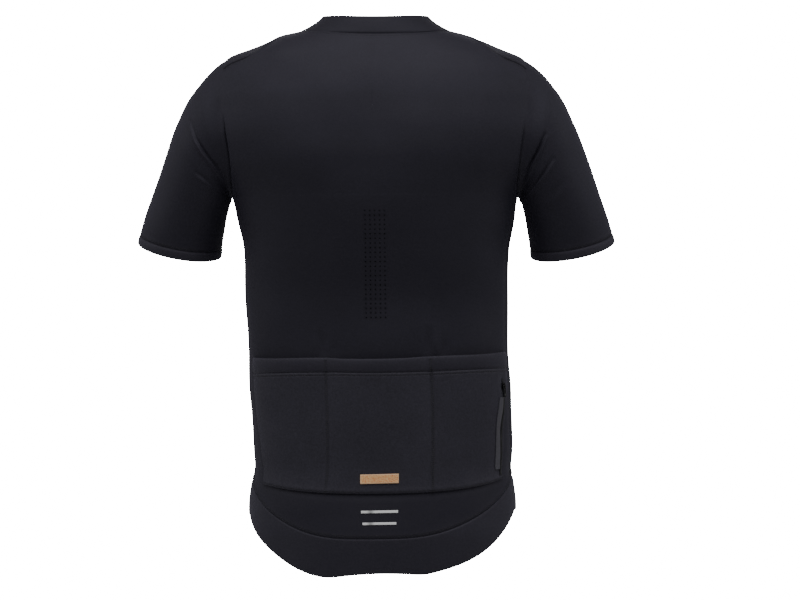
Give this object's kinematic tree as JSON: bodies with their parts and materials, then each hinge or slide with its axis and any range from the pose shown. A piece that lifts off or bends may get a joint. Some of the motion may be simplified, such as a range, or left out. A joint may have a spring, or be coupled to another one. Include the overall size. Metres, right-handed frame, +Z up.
{
  "type": "cycling jersey",
  "caption": "Short-sleeved cycling jersey with a low collar, front zip, rear pockets and a dropped curved tail, hollow and open as worn.",
  "frame": {"origin": "middle of the neck at the height of the collar seam, where the wearer's neck and shoulders hold it", "axes": "+Z up, -Y is the front of the garment and +Y its back, +X is the wearer's left"},
  "size_m": [0.626, 0.2556, 0.7268],
  "materials": {
    "knit": "smooth black stretch knit",
    "hem_knit": "black elastic knit band",
    "zip_tape": "black woven tape with a nylon coil",
    "flap": "dark grey laminated tape",
    "patch": "tan mottled cork or leather, bare",
    "reflective": "silver retroreflective transfer",
    "slider_paint": "black enamel"
  },
  "bodies": {
    "jersey": {"back": "knit", "front_left": "knit", "front_right": "knit", "sleeve_left": "knit", "sleeve_right": "knit", "pocket_panel": "knit", "cuff_left": "hem_knit", "cuff_right": "hem_knit", "collar": "hem_knit", "pocket_band": "hem_knit", "hem_back": "hem_knit", "hem_front_left": "hem_knit", "hem_front_right": "hem_knit", "label": "patch", "reflector_upper": "reflective", "reflector_lower": "reflective", "pocket_zip": "zip_tape", "pocket_zip_flap": "flap", "front_zip": "zip_tape", "pocket_zip_slider": "slider_paint", "front_zip_slider": "slider_paint"},
    "pocket_pull": {"pocket_zip_pull": "slider_paint"},
    "front_pull": {"front_zip_pull": "slider_paint"}
  },
  "joints": [
    {"name": "pocket_pull_swing", "type": "hinge", "parent": "jersey", "child": "pocket_pull", "pos_m": [-0.16997, 0.05828, -0.4655], "axis": [0.5906, 0.8052, 0.0542], "range_deg": [0, 150]},
    {"name": "front_pull_swing", "type": "hinge", "parent": "jersey", "child": "front_pull", "pos_m": [0, -0.08856, -0.07659], "axis": [-1, 0, 0], "range_deg": [0, 150]}
  ]
}
